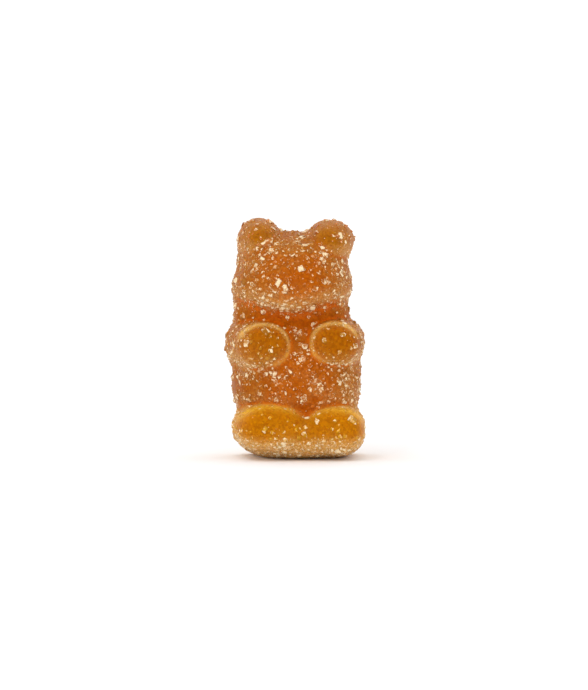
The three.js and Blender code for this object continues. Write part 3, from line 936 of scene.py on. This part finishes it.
def sugar_material(look):
    """Granulated sugar: hard crystals with sharp, glossy facets. Clear ones take the colour of the
    jelly under them, and scratched facets are frosted white. Facets are also painted white at
    random as glints, and clear ones lighter or darker as painted shading."""
    material, tree = new_material("granulated_sugar")
    place = add_node(tree, "ShaderNodeTexCoord").outputs["Object"]
    facet = add_node(tree, "ShaderNodeAttribute", {"attribute_name": "facet"})
    grit = add_node(
        tree, "ShaderNodeTexNoise", {}, {"Vector": place, "Scale": 1 / GRIT_SIZE, "Detail": 2.0})

    colour = tinted(tree, (*look.clear_on_orange, 1), (
        ("flank", look.clear_on_flank), ("limbs", look.clear_on_amber),
        ("feet", look.clear_on_golden), ("dust_and_painted_bounce", look.tan)))
    # Painted shading: each clear facet lighter or darker at random.
    shade = add_node(
        tree, "ShaderNodeMapRange", {},
        {"Value": facet.outputs["Fac"], "To Min": 1 - FACET_SHADE, "To Max": 1 + FACET_SHADE})
    colour = add_node(
        tree, "ShaderNodeMix", {"data_type": "RGBA", "blend_type": "MULTIPLY"},
        {SHARE: 1.0, UNDER: colour, OVER: shade.outputs[0]}).outputs[MIXED]
    # Frosted facets and painted glints, both white.
    colour = add_node(
        tree, "ShaderNodeMix", {"data_type": "RGBA"},
        {SHARE: frost_and_painted_glints(tree, facet, grit), UNDER: colour,
         OVER: (*look.frost, 1)}).outputs[MIXED]
    smoothest, roughest = SUGAR_ROUGHNESS
    gloss = add_node(
        tree, "ShaderNodeMapRange", {},
        {"Value": grit.outputs[0], "To Min": smoothest, "To Max": roughest})
    finish_material(tree, {
        "Base Color": colour, "Roughness": gloss.outputs[0], "IOR": SUGAR_IOR,
        "Specular IOR Level": SUGAR_SHINE, "Transmission Weight": 0.05})
    return material


def table_material(look):
    """White card, matt, that the bear stands on."""
    material, tree = new_material("white_card")
    finish_material(tree, {"Base Color": (*look.table, 1), "Roughness": 0.9})
    return material


# ---------------- what a user would change
def colour_property(name, description, hex_colour):
    """A colour that is picked by the user."""
    return FloatVectorProperty(
        name=name, description=description, default=linear(hex_colour), size=3, min=0, max=1,
        subtype="COLOR")


def length_property(name, description, millimetres):
    """A length that is shown in the user's own units."""
    return FloatProperty(
        name=name, description=description, default=millimetres * MM, min=0, precision=5,
        subtype="DISTANCE", unit="LENGTH")


class JellyLook(bpy.types.PropertyGroup):
    """Fineness and colours of the jelly."""

    cell: length_property("Cell", "Side of the grid cells that the surface is drawn with", 0.14)
    orange: colour_property("Orange", "Head and body", "#b05400")
    amber: colour_property("Amber", "Paws", "#a85c00")
    golden: colour_property("Golden", "Feet", "#ba6e00")
    brown_amber: colour_property("Brown amber", "Ears", "#a25c00")
    brown_orange: colour_property("Brown orange", "Sides of the head and body", "#9c5200")
    deep_orange: colour_property("Deep orange", "Creases, where the jelly is clean", "#c65800")
    # Painted glow on the upper rims, where light comes through the jelly.
    yellow: colour_property("Yellow", "Upper rims, where light comes through", "#e8ac2c")
    # Also the colour of the painted bounce light underneath.
    dust: colour_property("Dust", "Fine sugar melted onto the skin", "#e0ac62")


class SugarLook(bpy.types.PropertyGroup):
    """Numbers, sizes and colours of the sugar."""

    seed: IntProperty(name="Seed", description="Start of the random draws", default=5)
    front_frost: FloatProperty(
        name="Front frost", description="How frosted the large grains in plain sight are",
        default=0.6, min=0, max=1)
    back_frost: FloatProperty(
        name="Other frost", description="How frosted the other large grains are",
        default=0.45, min=0, max=1)
    medium_count: IntProperty(
        name="Medium grains", description="Grains drawn before crowded ones go",
        default=8500, min=1)
    medium_size: length_property("Medium size", "Length of the largest medium grains", 0.62)
    medium_least: length_property("Least medium size", "Length of the smallest of them", 0.26)
    fine_count: IntProperty(
        name="Fine grains", description="Number of fine grains", default=20000, min=1)
    fine_size: length_property("Fine size", "Length of the largest fine grains", 0.26)
    fine_least: length_property("Least fine size", "Length of the smallest of them", 0.1)
    clear_on_orange: colour_property("Clear on orange", "Clear grains on the body", "#bc5e00")
    clear_on_amber: colour_property("Clear on amber", "Clear grains on the paws", "#bc7a08")
    clear_on_golden: colour_property("Clear on golden", "Clear grains on the feet", "#dc9a10")
    clear_on_flank: colour_property("Clear on the sides", "Clear grains on the sides", "#b06c00")
    # Also paints bounce light from below on the grains underneath.
    tan: colour_property("Tan", "Grains where the sugar lies thick", "#dca45c")
    # Also the colour of painted glints on facets.
    frost: colour_property("Frost", "Frosted grains", "#fae4ba")


class StageLook(bpy.types.PropertyGroup):
    """Camera, lights and table."""

    azimuth: FloatProperty(
        name="Azimuth", description="Turn of the camera to the bear's left or right",
        default=math.radians(-2.5), subtype="ANGLE")
    elevation: FloatProperty(
        name="Elevation", description="How far the camera looks down",
        default=math.radians(2), subtype="ANGLE")
    lens: FloatProperty(name="Lens", description="Focal length in millimetres", default=110, min=1)
    frame_height: length_property("Frame height", "Height seen at the bear's middle", 69.0)
    aim_height: length_property("Aim height", "Height that the camera looks at", 11.25)
    aim_left: length_property("Aim left", "How far left of the middle the camera looks", 0.2)
    sky: FloatProperty(name="Sky", description="Strength of the white surroundings", default=1.1)
    key_power: FloatProperty(
        name="Key power", description="Power of the lamp above the bear", default=0.03,
        subtype="POWER", unit="POWER")
    table: colour_property("Table", "Colour of the table", "#fcfcfc")


# ---------------- the pieces
def finish_piece(piece, material):
    """Gives a piece its material and its place in the model."""
    piece.data.materials.append(material)
    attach(piece, BODY)
    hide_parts(NODE)


class GUMMY_OT_jelly(bpy.types.Operator):
    """Draws the jelly bear's surface and keeps what the materials need at each vertex"""

    bl_idname = "gummy.jelly"
    bl_label = "Jelly"

    def execute(self, context):
        look = context.scene.jelly_look
        cell = look.cell / MM
        points, quads = bear_surface(cell)
        middle = middle_of_all(points)
        jelly = new_mesh_object(
            "jelly", (points - middle) * MM, quads.ravel(), np.full(len(quads), 4))
        jelly["middle_mm"] = middle.tolist()
        jelly.data.shade_smooth()
        for name, values in coat(points, vertex_normals(jelly.data)).items():
            set_attribute(jelly.data, name, values)
        finish_piece(jelly, jelly_material(look))
        return {"FINISHED"}


class GUMMY_OT_sugar(bpy.types.Operator):
    """Scatters the sugar over the jelly: the largest grains of the solid, then finer ones"""

    bl_idname = "gummy.sugar"
    bl_label = "Sugar"

    def execute(self, context):
        look = context.scene.sugar_look
        jelly = context.scene.objects.get("jelly")
        if jelly is None:
            raise RuntimeError("the sugar needs the jelly first")
        material = sugar_material(look)
        random = np.random.default_rng(look.seed)
        skin = {name: get_attribute(jelly.data, name)
                for name in (*GRAIN_TINTS, "sugar", "thick", "clump")}
        finish_piece(largest_sugar(random, jelly, skin, look), material)

        share = 1
        medium = SmallGrains(
            "medium_sugar", pebble_shape(), int(look.medium_count * share),
            look.medium_least, look.medium_size, skin["sugar"], MEDIUM_SPACING)
        fine = SmallGrains(
            "fine_sugar", chip_shape(), int(look.fine_count * share),
            look.fine_least, look.fine_size, FINE_WITH_MEDIUM * skin["sugar"] + skin["dust_and_painted_bounce"], 0)
        for kind in (medium, fine):
            finish_piece(small_sugar(random, jelly, skin, kind), material)
        return {"FINISHED"}


# ---------------- the stage
def lay_table(look):
    """A flat sheet of card that the bear stands on."""
    corners = np.array([(-1, -1, 0), (1, -1, 0), (1, 1, 0), (-1, 1, 0)]) * TABLE_REACH
    table = new_mesh_object("table", corners, np.arange(4), np.array([4]))
    table.data.materials.append(table_material(look))


def light_up(scene, look):
    """White surroundings, and a round lamp above the bear, in front of it and to the left."""
    world = bpy.data.worlds.new("white_surroundings")
    world.use_nodes = True
    background = world.node_tree.nodes["Background"]
    background.inputs["Color"].default_value = (1, 1, 1, 1)
    background.inputs["Strength"].default_value = look.sky
    scene.world = world

    lamp = bpy.data.lights.new("key", "AREA")
    lamp.shape = "DISK"
    lamp.size = LAMP_SIZE
    lamp.energy = look.key_power
    key = bpy.data.objects.new("key", lamp)
    key.location = LAMP_PLACE
    key.rotation_euler = (LAMP_AIM - LAMP_PLACE).to_track_quat("-Z", "Y").to_euler()
    scene.collection.objects.link(key)


def set_up_camera(scene, look):
    """A camera as far off as its lens needs, to see the frame's height at the bear's middle. The
    picture is taller than wide, so the sensor's width spans its height."""
    camera_data = bpy.data.cameras.new("camera")
    camera_data.lens = look.lens
    distance = look.frame_height * look.lens / camera_data.sensor_width
    target = Vector((-look.aim_left, 0, look.aim_height))
    back = Vector((math.sin(look.azimuth) * math.cos(look.elevation),
                   -math.cos(look.azimuth) * math.cos(look.elevation),
                   math.sin(look.elevation)))
    camera_data.clip_start = distance * NEAREST_SEEN
    camera = bpy.data.objects.new("camera", camera_data)
    camera.location = target + back * distance
    camera.rotation_euler = (-back).to_track_quat("-Z", "Y").to_euler()
    scene.collection.objects.link(camera)
    scene.camera = camera


class GUMMY_OT_stage(bpy.types.Operator):
    """Sets up the table, the light and the camera"""

    bl_idname = "gummy.stage"
    bl_label = "Stage"

    def execute(self, context):
        scene = context.scene
        lay_table(scene.stage_look)
        light_up(scene, scene.stage_look)
        set_up_camera(scene, scene.stage_look)
        scene.view_settings.view_transform = "Standard"
        return {"FINISHED"}


# ---------------- the add-on
class GUMMY_PT_bear(bpy.types.Panel):
    """The bear's pieces and what can be changed about them"""

    bl_label = "Gummy bear"
    bl_space_type = "VIEW_3D"
    bl_region_type = "UI"
    bl_category = "Gummy bear"

    def draw(self, context):
        scene = context.scene
        looks = scene.jelly_look, scene.sugar_look, scene.stage_look
        for operator, look in zip(OPERATORS, looks):
            box = self.layout.box()
            for name in type(look).__annotations__:
                box.prop(look, name)
            box.operator(operator.bl_idname)


OPERATORS = (GUMMY_OT_jelly, GUMMY_OT_sugar, GUMMY_OT_stage)
CLASSES = (JellyLook, SugarLook, StageLook, *OPERATORS, GUMMY_PT_bear)


def register():
    for item in CLASSES:
        bpy.utils.register_class(item)
    bpy.types.Scene.jelly_look = PointerProperty(type=JellyLook)
    bpy.types.Scene.sugar_look = PointerProperty(type=SugarLook)
    bpy.types.Scene.stage_look = PointerProperty(type=StageLook)


def unregister():
    del bpy.types.Scene.stage_look
    del bpy.types.Scene.sugar_look
    del bpy.types.Scene.jelly_look
    for item in reversed(CLASSES):
        bpy.utils.unregister_class(item)


def main():
    register()
    bpy.ops.gummy.jelly()
    bpy.ops.gummy.sugar()
    bpy.ops.gummy.stage()
    bpy.context.view_layer.update()


if __name__ == "__main__":
    main()
